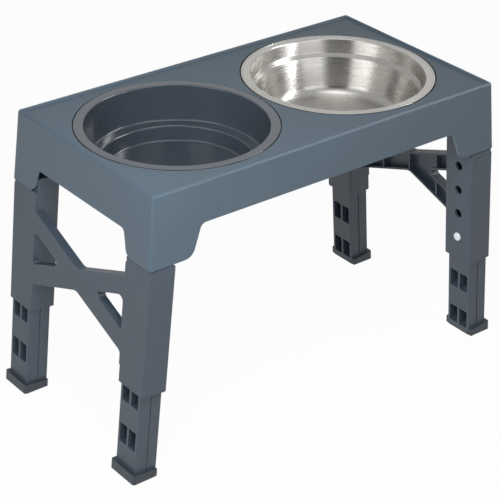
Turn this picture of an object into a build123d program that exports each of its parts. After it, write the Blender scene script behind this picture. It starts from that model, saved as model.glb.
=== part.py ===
"""Raised pet feeder: a moulded deck with two lift-out bowls, two folding leg frames and four telescoping legs.

Frame: millimetres, +Z up, origin on the floor under the middle of the deck. The long sides face -Y (front)
and +Y (rear), the plastic bowl is at -X (left) and the steel bowl at +X (right).
The legs are modelled in a leg frame: w runs inward from a leg frame's outer face, y runs along the stand's
width, and s runs down the leg from the plane of the deck's top.
"""

from build123d import *
import math
import os

os.makedirs("parts", exist_ok=True)

# Deck
stand_height = 310.0
deck_length = 433.0
deck_width = 231.8
deck_thickness = 2.8
skirt_wall = 2.6
end_draft = 5.0
side_draft = 2.8
deck_corner_radius = 3.5
deck_edge_radius = 3.0
rim_lip_flat = 0.8
rim_lip_height = 2.0
rim_lip_radius = 0.6
field_corner_radius = 2.0
apron_depth = 75.6

# Arches cut in the deck's skirts, counted from the deck's ends and sides
side_skirt_depth = 43.5
side_apron_length = 42.3
side_arch_slope = 11.8
side_apron_radius = 13.0
side_arch_radius = 7.0
end_skirt_depth = 49.5
end_apron_length = 35.1
end_arch_slope = 6.6
end_apron_radius = 9.5
end_arch_radius = 6.0

# Bowl seats
bowl_spacing = 209.0
bowl_rim_radius = 102.2
bowl_rim_thickness = 2.0
bowl_seam = 1.2
bowl_hole_clearance = 0.7
seat_ledge_thickness = 2.4
seat_collar_width = 3.4
centre_rib_thickness = 2.4
centre_rib_depth = 24.0

# Plastic bowl, radii and depths of its inside
bowl_mouth_radius = 92.2
plastic_wall = 1.6
plastic_lip_radius = 1.4
plastic_ledge_outer_radius = 88.6
plastic_ledge_inner_radius = 77.2
plastic_ledge_depth = 38.4
plastic_ledge_fall = 1.0
plastic_floor_radius = 75.8
plastic_depth = 55.7
plastic_inside_fillet = 2.0

# Steel bowl, radii and depths of its inside
steel_wall = 0.8
steel_lip_radius = 1.6
steel_shoulder_radius = 89.2
steel_shoulder_depth = 14.6
steel_step_radius = 85.6
steel_step_depth = 19.0
steel_waist_radius = 77.6
steel_waist_depth = 44.0
steel_depth = 56.5
steel_floor_blend = 13.0
steel_shoulder_fillet = 1.6

# Leg frames
leg_lean = 5.05
flush_inset = 1.1
side_flush_inset = 0.0
seam_gap = 1.3
sleeve_thickness = 29.5
sleeve_width = 40.6
sleeve_outer_wall = 0.9
sleeve_inner_wall = 2.6
sleeve_side_wall = 3.4
sleeve_roof = 3.7
sleeve_outer_edge_radius = 2.4
sleeve_frame_edge_radius = 2.0
sleeve_inner_edge_radius = 2.6
shoulder_corner_radius = 3.5
collar_band_end = 81.0
collar_band_step = 0.4
collar_band_edge_radius = 3.4
neck_inset = 3.2
neck_side_inset = 4.6
neck_rise = 14.0
arm_lap = 2.0

# Brace between the sleeves: half of an X on each side of the middle
brace_depth = 10.0
brace_web = 2.4
brace_flange = 2.2
brace_top_middle = 126.5
brace_top_side = 96.5
brace_bottom_middle = 150.0
brace_bottom_side = 179.4
brace_middle_radius = 12.0
brace_top_side_radius = 1.5
brace_bottom_side_radius = 5.0
window_apex_offset = 28.2
window_apex_s = 137.1
window_top_s = 118.0
window_bottom_s = 156.4
window_margin = 0.4
window_apex_radius = 4.6
window_top_radius = 6.0
window_bottom_radius = 2.0
brace_rib_offset = 43.5
brace_rib_thickness = 2.0
brace_rib_inset = 0.5

# Hinges between the deck and the leg frames
hinge_offset = 1.3
fold_gap = 3.8
knuckle_radius = 9.5
knuckle_width = 19.0
lug_radius = 9.0
lug_thickness = 4.5
lug_side_gap = 0.5
lug_web_rise = 8.0
hinge_pin_radius = 2.5
hinge_running_clearance = 0.08
hinge_press_clearance = 0.02
stop_gap = 0.3
stop_width = 15.0
stop_height = 10.0
stop_lap = 1.0

# Height holes and snap buttons
hole_count = 4
last_hole_rise = 28.2
hole_radius = 5.1
button_radius = 4.7
button_protrusion = 2.2
button_edge_radius = 1.5
button_flange_radius = 6.2
button_flange_thickness = 1.4
button_wall_gap = 0.35
button_hole_clearance = 0.3
clip_thickness = 0.7
clip_width = 10.0
clip_seat_gap = 0.3
clip_length = 28.0
clip_nose_flat = 0.01
button_inside_gap = 0.25

# Telescoping inner legs
slide_gap = 0.3
side_slide_gap = 0.4
leg_engagement = 42.0
leg_roof_gap = 0.6
leg_sole_web = 0.65
foot_stop_gap = 0.3
inner_leg_edge_radius = 1.2
window_width = 11.6
window_rib = 3.0
window_pitch = 23.75
window_floor = 2.2
window_back_wall = 2.0
window_end_margin = 3.75
chamber_end_drop = 21.2
chamber_width = 24.0
chamber_outer_wall = 2.0
chamber_inner_wall = 2.4
side_groove_width = 1.6
side_groove_depth = 0.9
side_groove_w = 14.3

# Feet
foot_lap = 5.2
foot_outer_lip = 3.9
foot_side_lip = 3.65
foot_inner_setback = 0.7
foot_corner_radius = 3.0
foot_inner_corner_radius = 1.2
foot_tongue_drop = 1.8
foot_tongue_inset = 1.0
foot_ground_gap = 0.4
pad_thickness = 2.2
pad_inset = 3.2
pad_seat_gap = 0.05
pad_corner_radius = 2.0
below_floor = 15.5

# Cuts run this far past the faces they open, and edges are found to this tolerance
cut_reach = 1.0
match_tolerance = 0.01

lean_sin = math.sin(math.radians(leg_lean))
lean_cos = math.cos(math.radians(leg_lean))
half_length = deck_length / 2
half_width = deck_width / 2
rim_lip_width = deck_edge_radius + rim_lip_flat
field_z = stand_height - rim_lip_height
ceiling_depth = rim_lip_height + deck_thickness


def half_x(depth):
    """Half the deck's outer length at a depth below its top."""
    return half_length + depth * math.tan(math.radians(end_draft))


def half_y(depth):
    """Half the deck's outer width at a depth below its top."""
    return half_width + depth * math.tan(math.radians(side_draft))


# Where the right leg frame's outer face meets the plane of the deck's top
face_x = half_x(apron_depth) - flush_inset - apron_depth * lean_sin / lean_cos
leg_plane = Plane(
    origin=(face_x, 0, stand_height),
    x_dir=(-lean_cos, 0, -lean_sin),
    z_dir=(lean_sin, 0, -lean_cos),
)

# Sketches of a leg's side view, with w across and s up the sketch
side_plane = Plane(origin=(0, 0, 0), x_dir=(1, 0, 0), z_dir=(0, -1, 0))


def s_at(depth, w):
    """Distance down the leg of the level plane at a depth below the deck's top."""
    return (depth - w * lean_sin) / lean_cos


def x_at(s, w):
    """Distance from the stand's middle plane of a point of the leg frame."""
    return face_x + s * lean_sin - w * lean_cos


sleeve_outer_y = half_y(apron_depth) - side_flush_inset
sleeve_inner_y = sleeve_outer_y - sleeve_width
leg_y = (sleeve_outer_y + sleeve_inner_y) / 2
shoulder_depth = apron_depth + seam_gap
neck_top = s_at(shoulder_depth, 0) - neck_rise

hinge_w = sleeve_thickness + hinge_offset
hinge_depth = side_skirt_depth + fold_gap - hinge_offset
hinge_s = s_at(hinge_depth, hinge_w)
hinge_x = x_at(hinge_s, hinge_w)
hinge_z = stand_height - hinge_depth
pin_length = knuckle_width + 2 * (lug_side_gap + lug_thickness)

inner_leg_outer_w = sleeve_outer_wall + slide_gap
inner_leg_inner_w = sleeve_thickness - sleeve_inner_wall - slide_gap
inner_leg_width = sleeve_width - 2 * (sleeve_side_wall + side_slide_gap)

# Down the leg, from the floor up: the leg's end, the cap, the sleeve's end and the height holes
inner_leg_end = s_at(stand_height - pad_thickness - leg_sole_web, inner_leg_inner_w)
foot_top = inner_leg_end - foot_lap
foot_deep = inner_leg_end + below_floor
sleeve_roof_s = s_at(shoulder_depth, 0) + sleeve_roof
slid_leg_top = sleeve_roof_s + leg_roof_gap
leg_travel = (foot_top - foot_stop_gap - slid_leg_top - leg_engagement) / 2
hole_pitch = leg_travel / (hole_count - 1)
sleeve_end = foot_top - foot_stop_gap - leg_travel
button_s = sleeve_end - last_hole_rise
first_hole_s = button_s - leg_travel
inner_leg_top = slid_leg_top + leg_travel
chamber_end = button_s + chamber_end_drop
window_last_boundary = inner_leg_end - window_end_margin
window_rows = int((window_last_boundary - chamber_end) / window_pitch)


def rounded_outline(corners):
    """Face with straight edges, where each corner is (x, y, radius)."""
    points = [Vector(x, y) for x, y, _ in corners]
    starts = []
    middles = []
    ends = []
    for i, (_, _, radius) in enumerate(corners):
        point = points[i]
        back = (points[i - 1] - point).normalized()
        ahead = (points[(i + 1) % len(points)] - point).normalized()
        half_angle = math.radians(back.get_angle(ahead)) / 2
        reach = radius / math.tan(half_angle)
        starts.append(point + back * reach)
        ends.append(point + ahead * reach)
        bisector = (back + ahead).normalized()
        middles.append(point + bisector * (radius / math.sin(half_angle) - radius))
    edges = []
    for i, (_, _, radius) in enumerate(corners):
        edges.append(Line(ends[i - 1], starts[i]))
        if radius > 0:
            edges.append(ThreePointArc(starts[i], middles[i], ends[i]))
    return make_face(edges)


def block(low, high):
    """Box between two corners."""
    size = [b - a for a, b in zip(low, high)]
    centre = [(a + b) / 2 for a, b in zip(low, high)]
    return Pos(*centre) * Box(*size)


def edges_along_z(solid, xs, ys):
    """Straight edges of a solid that run along Z at one of the given x and y places."""
    found = []
    for edge in solid.edges().filter_by(Axis.Z):
        middle = edge.center()
        near_x = min(abs(middle.X - x) for x in xs) < match_tolerance
        near_y = min(abs(middle.Y - y) for y in ys) < match_tolerance
        if near_x and near_y:
            found.append(edge)
    return found


def tapered_block(inset, top_depth, bottom_depth):
    """Block with the deck's drafts, inset from its outer faces."""
    sections = []
    for depth in (top_depth, bottom_depth):
        outline = Rectangle(2 * (half_x(depth) - inset), 2 * (half_y(depth) - inset))
        sections.append(Pos(0, 0, stand_height - depth) * outline)
    return loft(sections, ruled=True)


def arch_cut(half_span, apron_length, slope, depth, apron_radius, arch_radius, reach):
    """Face that cuts a skirt to its arch, in (along, up from the deck's top)."""
    corner = half_span - apron_length
    crown = corner - slope
    far = half_span + reach
    corners = [
        (-far, -apron_depth, 0),
        (-corner, -apron_depth, apron_radius),
        (-crown, -depth, arch_radius),
        (crown, -depth, arch_radius),
        (corner, -apron_depth, apron_radius),
        (far, -apron_depth, 0),
        (far, -apron_depth - reach, 0),
        (-far, -apron_depth - reach, 0),
    ]
    return rounded_outline(corners)


def hinge_lugs(y_sign):
    """Two ears that carry one hinge pin under the deck's right end."""
    lugs = []
    web_depth = hinge_depth - lug_web_rise
    overlap = skirt_wall / 2
    top = field_z - deck_thickness / 2
    wall_x = [half_x(depth) - overlap for depth in (ceiling_depth, web_depth)]
    outline = make_face(
        Polyline(
            (hinge_x - lug_radius, top),
            (wall_x[0], top),
            (wall_x[1], stand_height - web_depth),
            (hinge_x + lug_radius, hinge_z),
            (hinge_x - lug_radius, hinge_z),
            close=True,
        )
    )
    for side in (-1, 1):
        near = knuckle_width / 2 + lug_side_gap
        middle = y_sign * leg_y + side * (near + lug_thickness / 2)
        web = Pos(0, middle, 0) * extrude(Plane.XZ * outline, lug_thickness / 2, both=True)
        eye = Pos(hinge_x, middle, hinge_z) * Rot(90, 0, 0) * Cylinder(lug_radius, lug_thickness)
        lugs.append(web + eye)
    return lugs


def lean_stop(y_sign):
    """Pad on the end skirt that the leg's neck leans against."""
    low_s = neck_top + stop_lap
    face_w = neck_inset - stop_gap
    root_w = skirt_wall / 2 - flush_inset
    low = (root_w, y_sign * leg_y - stop_width / 2, low_s)
    high = (face_w, y_sign * leg_y + stop_width / 2, low_s + stop_height)
    return leg_plane * block(low, high)


def lipped(body):
    """Sinks the deck's field below a rounded lip around its edge."""
    field_length = 2 * (half_length - rim_lip_width)
    field_width = 2 * (half_width - rim_lip_width)
    outline = RectangleRounded(field_length, field_width, field_corner_radius)
    body -= Pos(0, 0, stand_height) * extrude(outline, rim_lip_height, both=True)
    rim = []
    for edge in body.edges():
        middle = edge.center()
        level = middle.Z > field_z - match_tolerance
        inside_x = abs(middle.X) < field_length / 2 + match_tolerance
        inside_y = abs(middle.Y) < field_width / 2 + match_tolerance
        if level and inside_x and inside_y and abs(edge.tangent_at(0.5).Z) < 0.5:
            rim.append(edge)
    return fillet(rim, rim_lip_radius)


def table_deck():
    """The moulded deck with its lip, skirts, bowl seats, hinge lugs and middle rib."""
    body = tapered_block(0, 0, apron_depth)
    upright = [e for e in body.edges() if abs(e.tangent_at(0.5).Z) > 0.5]
    body = fillet(upright, deck_corner_radius)
    body = fillet(body.faces().sort_by(Axis.Z)[-1].edges(), deck_edge_radius)
    body = lipped(body)
    body -= tapered_block(skirt_wall, ceiling_depth, apron_depth + cut_reach)
    reach = 2 * skirt_wall + deck_edge_radius + apron_depth * math.tan(math.radians(end_draft))
    side_arch = arch_cut(half_length, side_apron_length, side_arch_slope, side_skirt_depth,
                         side_apron_radius, side_arch_radius, reach)
    end_arch = arch_cut(half_width, end_apron_length, end_arch_slope, end_skirt_depth,
                        end_apron_radius, end_arch_radius, reach)
    body -= Pos(0, 0, stand_height) * extrude(Plane.XZ * side_arch, deck_width, both=True)
    body -= Pos(0, 0, stand_height) * extrude(Plane.YZ * end_arch, deck_length, both=True)

    rib_half = half_y(ceiling_depth) - skirt_wall / 2
    rib_low = (-centre_rib_thickness / 2, -rib_half, stand_height - centre_rib_depth)
    rib_high = (centre_rib_thickness / 2, rib_half, field_z - deck_thickness / 2)
    body += block(rib_low, rib_high)

    seat_radius = bowl_rim_radius + bowl_seam
    hole_r = bowl_mouth_radius + plastic_wall + bowl_hole_clearance
    collar_depth = bowl_rim_thickness + seat_ledge_thickness
    for x in (-bowl_spacing / 2, bowl_spacing / 2):
        collar_height = collar_depth - deck_thickness / 2
        collar = Cylinder(seat_radius + seat_collar_width, collar_height)
        body += Pos(x, 0, field_z - deck_thickness / 2 - collar_height / 2) * collar
    for x in (-bowl_spacing / 2, bowl_spacing / 2):
        body -= Pos(x, 0, field_z) * Cylinder(seat_radius, 2 * bowl_rim_thickness)
        body -= Pos(x, 0, field_z) * Cylinder(hole_r, 2 * (collar_depth + cut_reach))

    for y_sign in (-1, 1):
        for turn in (0, 180):
            for lug in hinge_lugs(y_sign):
                body += Rot(0, 0, turn) * lug
            body += Rot(0, 0, turn) * lean_stop(y_sign)
            pin_hole = Cylinder(hinge_pin_radius + hinge_press_clearance, pin_length + cut_reach)
            placed = Pos(hinge_x, y_sign * leg_y, hinge_z) * Rot(90, 0, 0) * pin_hole
            body -= Rot(0, 0, turn) * placed
    return body


def hinge_pin(y_sign):
    """Steel pin of one hinge at the right end."""
    pin = Cylinder(hinge_pin_radius, pin_length)
    return Pos(hinge_x, y_sign * leg_y, hinge_z) * Rot(90, 0, 0) * pin


def plastic_bowl():
    """Moulded bowl with a flat rim and a ledge above its narrower base."""
    wall = plastic_wall
    ledge_end = plastic_ledge_depth + plastic_ledge_fall
    fillet_r = plastic_inside_fillet
    corners = [
        (0, -plastic_depth, 0),
        (plastic_floor_radius, -plastic_depth, fillet_r),
        (plastic_ledge_inner_radius, -ledge_end, fillet_r),
        (plastic_ledge_outer_radius, -plastic_ledge_depth, fillet_r),
        (bowl_mouth_radius, 0, plastic_lip_radius),
        (bowl_rim_radius, 0, bowl_rim_thickness / 4),
        (bowl_rim_radius, -bowl_rim_thickness, bowl_rim_thickness / 4),
        (bowl_mouth_radius + wall, -bowl_rim_thickness, bowl_rim_thickness / 4),
        (plastic_ledge_outer_radius + wall, -plastic_ledge_depth - wall, fillet_r + wall),
        (plastic_ledge_inner_radius + wall, -ledge_end - wall, fillet_r - wall / 2),
        (plastic_floor_radius + wall, -plastic_depth - wall, fillet_r + wall),
        (0, -plastic_depth - wall, 0),
    ]
    profile = Plane.XZ * rounded_outline(corners)
    return Pos(-bowl_spacing / 2, 0, field_z) * revolve(profile, Axis.Z)


def steel_bowl():
    """Pressed steel bowl with a flat rim, a stepped shoulder and a round base."""
    wall = steel_wall
    corners = [
        (0, -steel_depth, 0),
        (steel_waist_radius - steel_floor_blend / 3, -steel_depth, steel_floor_blend),
        (steel_waist_radius, -steel_waist_depth, 2 * steel_floor_blend),
        (steel_step_radius, -steel_step_depth, steel_shoulder_fillet),
        (steel_shoulder_radius, -steel_shoulder_depth, steel_shoulder_fillet),
        (bowl_mouth_radius, 0, steel_lip_radius),
        (bowl_rim_radius, 0, bowl_rim_thickness / 4),
        (bowl_rim_radius, -bowl_rim_thickness, bowl_rim_thickness / 4),
        (bowl_mouth_radius + wall, -bowl_rim_thickness, bowl_rim_thickness / 4),
        (steel_shoulder_radius + wall, -steel_shoulder_depth - wall / 2, steel_shoulder_fillet),
        (steel_step_radius + wall, -steel_step_depth - wall / 2, steel_shoulder_fillet),
        (steel_waist_radius + wall, -steel_waist_depth, 2 * steel_floor_blend + wall),
        (steel_waist_radius + wall - steel_floor_blend / 3, -steel_depth - wall,
         steel_floor_blend + wall),
        (0, -steel_depth - wall, 0),
    ]
    profile = Plane.XZ * rounded_outline(corners)
    return Pos(bowl_spacing / 2, 0, field_z) * revolve(profile, Axis.Z)


def sleeve(y_sign):
    """Rectangular tube that an inner leg slides in, still without its bore."""
    inner_y = y_sign * sleeve_inner_y
    outer_y = y_sign * sleeve_outer_y
    low = (0, min(inner_y, outer_y), neck_top)
    high = (sleeve_thickness, max(inner_y, outer_y), sleeve_end)
    body = block(low, high)
    inner_edges = edges_along_z(body, (sleeve_thickness,), (inner_y, outer_y))
    body = fillet(inner_edges, sleeve_inner_edge_radius)
    body = fillet(edges_along_z(body, (0,), (outer_y,)), sleeve_outer_edge_radius)
    body = fillet(edges_along_z(body, (0,), (inner_y,)), sleeve_frame_edge_radius)
    side = rounded_outline([
        (-cut_reach, s_at(shoulder_depth, -cut_reach), 0),
        (sleeve_thickness, s_at(shoulder_depth, sleeve_thickness), shoulder_corner_radius),
        (sleeve_thickness, sleeve_end + cut_reach, 0),
        (-cut_reach, sleeve_end + cut_reach, 0),
    ])
    body &= extrude(side_plane * side, 2 * sleeve_outer_y, both=True)
    return body - collar_band(y_sign)


def collar_band(y_sign):
    """Shallow step cut round the front or rear face of a sleeve, above the band's end."""
    low_s = neck_top
    inner_y = y_sign * leg_y
    face_y = y_sign * sleeve_outer_y
    step_y = y_sign * (sleeve_outer_y - collar_band_step)
    reach = 2 * sleeve_thickness
    ys = sorted((inner_y, face_y + y_sign * reach))
    region = block((-reach, ys[0], low_s), (reach, ys[1], collar_band_end))
    ys = sorted((inner_y - y_sign * reach, step_y))
    kept = block((0, ys[0], low_s - cut_reach), (2 * reach, ys[1], collar_band_end + cut_reach))
    kept = fillet(edges_along_z(kept, (0,), (step_y,)), collar_band_edge_radius)
    return region - kept


def tangent_point(point, centre, radius, side):
    """Where the tangent from a point touches a circle, on the given side."""
    offset = centre - point
    turn = side * math.degrees(math.acos(radius / offset.length))
    return centre - offset.normalized().rotate(Axis.Z, turn) * radius


def neck_and_knuckle(y_sign):
    """Part of the leg frame behind the apron, up to the hinge knuckle."""
    outer_y = sleeve_outer_y - neck_side_inset
    ys = sorted((y_sign * sleeve_inner_y, y_sign * outer_y))
    low = (neck_inset, ys[0], neck_top)
    high = (sleeve_thickness, ys[1], sleeve_roof_s)
    neck = block(low, high)
    neck = fillet(edges_along_z(neck, (sleeve_thickness,), ys), sleeve_inner_edge_radius)
    centre = Vector(hinge_w, hinge_s)
    outer_foot = Vector(neck_inset + sleeve_outer_edge_radius, neck_top + arm_lap)
    inner_foot = Vector(sleeve_thickness, neck_top + arm_lap)
    outer_touch = tangent_point(outer_foot, centre, knuckle_radius, 1)
    inner_touch = tangent_point(inner_foot, centre, knuckle_radius, -1)
    points = [outer_foot, outer_touch, centre, inner_touch, inner_foot]
    outline = make_face(Polyline(*points, close=True)) + Pos(*centre) * Circle(knuckle_radius)
    arm = extrude(side_plane * outline, knuckle_width / 2, both=True)
    return neck + Pos(0, y_sign * leg_y, 0) * arm


def brace():
    """X-shaped brace between the sleeves: a web with flanges round its openings and upright ribs."""
    side = sleeve_inner_y
    overlap = (sleeve_side_wall + sleeve_frame_edge_radius) / 2
    beyond = brace_middle_radius + brace_flange
    top_limit = brace_top_side - beyond
    bottom_limit = brace_bottom_side + beyond
    upper_gap = rounded_outline([
        (-side, top_limit - beyond, 0),
        (-side, brace_top_side, brace_top_side_radius),
        (0, brace_top_middle, brace_middle_radius),
        (side, brace_top_side, brace_top_side_radius),
        (side, top_limit - beyond, 0),
    ])
    lower_gap = rounded_outline([
        (-side, bottom_limit + beyond, 0),
        (-side, brace_bottom_side, brace_bottom_side_radius),
        (0, brace_bottom_middle, brace_middle_radius),
        (side, brace_bottom_side, brace_bottom_side_radius),
        (side, bottom_limit + beyond, 0),
    ])
    windows = []
    for sign in (-1, 1):
        base = sign * (side - window_margin)
        windows.append(rounded_outline([
            (sign * window_apex_offset, window_apex_s, window_apex_radius),
            (base, window_top_s, window_top_radius),
            (base, window_bottom_s, window_bottom_radius),
        ]))
    height = bottom_limit - top_limit
    middle_s = (bottom_limit + top_limit) / 2
    openings = [upper_gap, lower_gap] + windows
    plate = Pos(0, middle_s) * Rectangle(2 * (side + overlap), height)
    pocket = Pos(0, middle_s) * Rectangle(2 * side, height)
    for opening in openings:
        plate -= opening
        pocket -= offset(opening, brace_flange, kind=Kind.INTERSECTION)
    solid = extrude(Plane.YZ * plate, brace_depth)
    body = solid - Pos(brace_web, 0, 0) * extrude(Plane.YZ * pocket, brace_depth)
    for y in (-brace_rib_offset, 0, brace_rib_offset):
        low = (brace_web / 2, y - brace_rib_thickness / 2, top_limit)
        high = (brace_depth - brace_rib_inset, y + brace_rib_thickness / 2, bottom_limit)
        body += solid & block(low, high)
    return body


def leg_frame():
    """Right leg frame: two sleeves joined by the brace, with hinge knuckles at the top."""
    body = brace()
    for y_sign in (-1, 1):
        body += sleeve(y_sign)
        body += neck_and_knuckle(y_sign)
    for y_sign in (-1, 1):
        half_bore = sleeve_width / 2 - sleeve_side_wall
        low = (sleeve_outer_wall, y_sign * leg_y - half_bore, sleeve_roof_s)
        high = (sleeve_thickness - sleeve_inner_wall, y_sign * leg_y + half_bore, sleeve_end + cut_reach)
        body -= block(low, high)
        for number in range(hole_count):
            s = first_hole_s + number * hole_pitch
            hole = Rot(0, 90, 0) * Cylinder(hole_radius, 4 * sleeve_inner_wall)
            body -= Pos(sleeve_thickness, y_sign * leg_y, s) * hole
        pin_bore = Rot(90, 0, 0) * Cylinder(hinge_pin_radius + hinge_running_clearance, sleeve_width)
        body -= Pos(hinge_w, y_sign * leg_y, hinge_s) * pin_bore
    return leg_plane * body


def window_pair(top_s, from_outside):
    """Two pockets side by side, cored from the inner leg's outer or inner face."""
    cuts = []
    if from_outside:
        low_w = inner_leg_outer_w - cut_reach
        high_w = inner_leg_inner_w - window_back_wall
    else:
        low_w = inner_leg_outer_w + window_back_wall
        high_w = inner_leg_inner_w + cut_reach
    for sign in (-1, 1):
        y = sign * (window_width + window_rib) / 2
        low = (low_w, y - window_width / 2, top_s)
        high = (high_w, y + window_width / 2, top_s + window_pitch - window_floor)
        cuts.append(block(low, high))
    return cuts


def inner_leg():
    """Telescoping leg about y = 0, cored alternately from its two wide faces."""
    half = inner_leg_width / 2
    low = (inner_leg_outer_w, -half, inner_leg_top)
    high = (inner_leg_inner_w, half, inner_leg_end)
    body = block(low, high)
    corners = edges_along_z(body, (low[0], high[0]), (-half, half))
    body = fillet(corners, inner_leg_edge_radius)
    for row in range(window_rows):
        top_s = window_last_boundary + window_floor / 2 - (row + 1) * window_pitch
        for cut in window_pair(top_s, from_outside=row % 2 == 1):
            body -= cut
    chamber_low = (inner_leg_outer_w + chamber_outer_wall, -chamber_width / 2, inner_leg_top - cut_reach)
    chamber_high = (inner_leg_inner_w - chamber_inner_wall, chamber_width / 2, chamber_end)
    body -= block(chamber_low, chamber_high)
    hole = Rot(0, 90, 0) * Cylinder(button_radius + button_hole_clearance, 4 * chamber_inner_wall)
    body -= Pos(inner_leg_inner_w, 0, button_s) * hole
    for sign in (-1, 1):
        edge = sign * half
        groove_low = (side_groove_w - side_groove_width / 2, edge - side_groove_depth, inner_leg_top - cut_reach)
        groove_high = (side_groove_w + side_groove_width / 2, edge + side_groove_depth, inner_leg_end + cut_reach)
        body -= block(groove_low, groove_high)
    return body


def level_cut(ground_gap):
    """Everything below a level plane at a small height over the floor."""
    depth = stand_height - ground_gap
    low_w = inner_leg_outer_w - 3 * foot_outer_lip
    high_w = sleeve_thickness + 3 * foot_outer_lip
    deep = depth + 2 * below_floor
    outline = make_face(
        Polyline(
            (low_w, s_at(depth, low_w)),
            (high_w, s_at(depth, high_w)),
            (high_w, s_at(deep, high_w)),
            (low_w, s_at(deep, low_w)),
            close=True,
        )
    )
    return extrude(side_plane * outline, sleeve_width, both=True)


def pad_solid(inset):
    """Space of the sole pad, up to its seat in the foot cap."""
    half = inner_leg_width / 2 + foot_side_lip - inset
    low = (inner_leg_outer_w - foot_outer_lip + inset, -half, foot_top)
    high = (inner_leg_inner_w - foot_inner_setback, half, foot_deep)
    body = block(low, high)
    corners = edges_along_z(body, (low[0], high[0]), (-half, half))
    body = fillet(corners, pad_corner_radius)
    return body & level_cut(pad_thickness)


def foot_cap():
    """Cap that wraps the end of an inner leg on three sides, about y = 0."""
    half = inner_leg_width / 2 + foot_side_lip
    low = (inner_leg_outer_w - foot_outer_lip, -half, foot_top)
    high = (inner_leg_inner_w - foot_inner_setback, half, foot_deep)
    body = block(low, high)
    body = fillet(edges_along_z(body, (low[0],), (-half, half)), foot_corner_radius)
    body = fillet(edges_along_z(body, (high[0],), (-half, half)), foot_inner_corner_radius)
    tongue_half = inner_leg_width / 2 - foot_tongue_inset
    tongue_low = (high[0] - foot_corner_radius, -tongue_half, foot_top + foot_tongue_drop)
    tongue_high = (inner_leg_inner_w, tongue_half, foot_deep)
    body += block(tongue_low, tongue_high)
    leg_half = inner_leg_width / 2
    socket_low = (inner_leg_outer_w, -leg_half, foot_top - cut_reach)
    socket_high = (inner_leg_inner_w + cut_reach, leg_half, inner_leg_end)
    body -= block(socket_low, socket_high)
    body -= level_cut(foot_ground_gap)
    return body - pad_solid(pad_inset)


def foot_pad():
    """Rubber sole under a foot cap, about y = 0."""
    return pad_solid(pad_inset + pad_seat_gap) - level_cut(0)


def spring_clip():
    """Bent strip behind a snap button, about y = 0."""
    back_w = inner_leg_outer_w + chamber_outer_wall + clip_seat_gap
    front_w = button_back_w()
    bottom = chamber_end - clip_seat_gap
    top = bottom - clip_length
    faces = []
    for inset in (0, clip_thickness):
        bend = (front_w - back_w) / 2 - inset - clip_nose_flat
        faces.append(rounded_outline([
            (back_w + inset, top - inset, 0),
            (front_w - inset, top - inset, 0),
            (front_w - inset, bottom - inset, bend),
            (back_w + inset, bottom - inset, bend),
        ]))
    outline = faces[0] - faces[1]
    return extrude(side_plane * outline, clip_width / 2, both=True)


def button_back_w():
    """Where a snap button rests on its clip."""
    return inner_leg_inner_w - chamber_inner_wall - button_wall_gap - button_flange_thickness


def snap_button():
    """Round button that stands out of a height hole, about y = 0."""
    back_w = button_back_w()
    tip_w = sleeve_thickness + button_protrusion
    flange = Cylinder(button_flange_radius, button_flange_thickness)
    stem = Cylinder(button_radius, tip_w - back_w)
    body = Pos(0, 0, button_flange_thickness / 2) * flange + Pos(0, 0, (tip_w - back_w) / 2) * stem
    body = fillet(body.faces().sort_by(Axis.Z)[-1].edges(), button_edge_radius)
    return Pos(back_w, 0, button_s) * Rot(0, 90, 0) * body


def save(shape, name):
    """Write one node and say how large it is."""
    export_step(shape, f"parts/{name}.step")
    size = shape.bounding_box().size
    print(f"{name}: {len(shape.solids())} solid(s), {size.X:.1f} x {size.Y:.1f} x {size.Z:.1f}")


save(table_deck(), "table_deck")
save(plastic_bowl(), "plastic_bowl")
save(steel_bowl(), "steel_bowl")

right_frame = leg_frame()
save(right_frame, "leg_frame_right")
save(Rot(0, 0, 180) * right_frame, "leg_frame_left")

right_pins = Compound([hinge_pin(-1), hinge_pin(1)])
save(right_pins, "hinge_pins_right")
save(Rot(0, 0, 180) * right_pins, "hinge_pins_left")

# Each leg's pieces are made about y = 0 and set at the four corners
leg_pieces = {
    "inner_leg": inner_leg(),
    "foot_cap": foot_cap(),
    "foot_pad": foot_pad(),
    "spring_clip": spring_clip(),
    "snap_button": snap_button(),
}
corners = {
    "front_right": (-1, 0),
    "rear_right": (1, 0),
    "front_left": (1, 180),
    "rear_left": (-1, 180),
}
for piece_name, piece in leg_pieces.items():
    for corner_name, (y_sign, turn) in corners.items():
        placed = leg_plane * Pos(0, y_sign * leg_y, 0) * piece
        save(Rot(0, 0, turn) * placed, f"{piece_name}_{corner_name}")

fold_angle = 90 + leg_lean
press_travel = button_protrusion + sleeve_inner_wall + slide_gap + button_inside_gap
print(f"hinge axis x {hinge_x:.3f} z {hinge_z:.3f}, fold {fold_angle:.2f} degrees")
print(f"leg slide direction {-lean_sin:.6f}, 0, {lean_cos:.6f} on the right, travel {leg_travel:.2f}")
print(f"button press direction {lean_cos:.6f}, 0, {lean_sin:.6f} on the right, travel {press_travel:.2f}")
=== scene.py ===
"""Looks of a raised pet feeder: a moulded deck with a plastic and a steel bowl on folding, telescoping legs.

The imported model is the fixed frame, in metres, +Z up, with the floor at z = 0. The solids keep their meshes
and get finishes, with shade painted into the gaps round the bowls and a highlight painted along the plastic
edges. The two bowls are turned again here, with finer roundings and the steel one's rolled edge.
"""

import logging
import math
from dataclasses import dataclass
from enum import Enum
from typing import Any, Optional, Union

import bpy
from mathutils import Matrix, Vector


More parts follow.
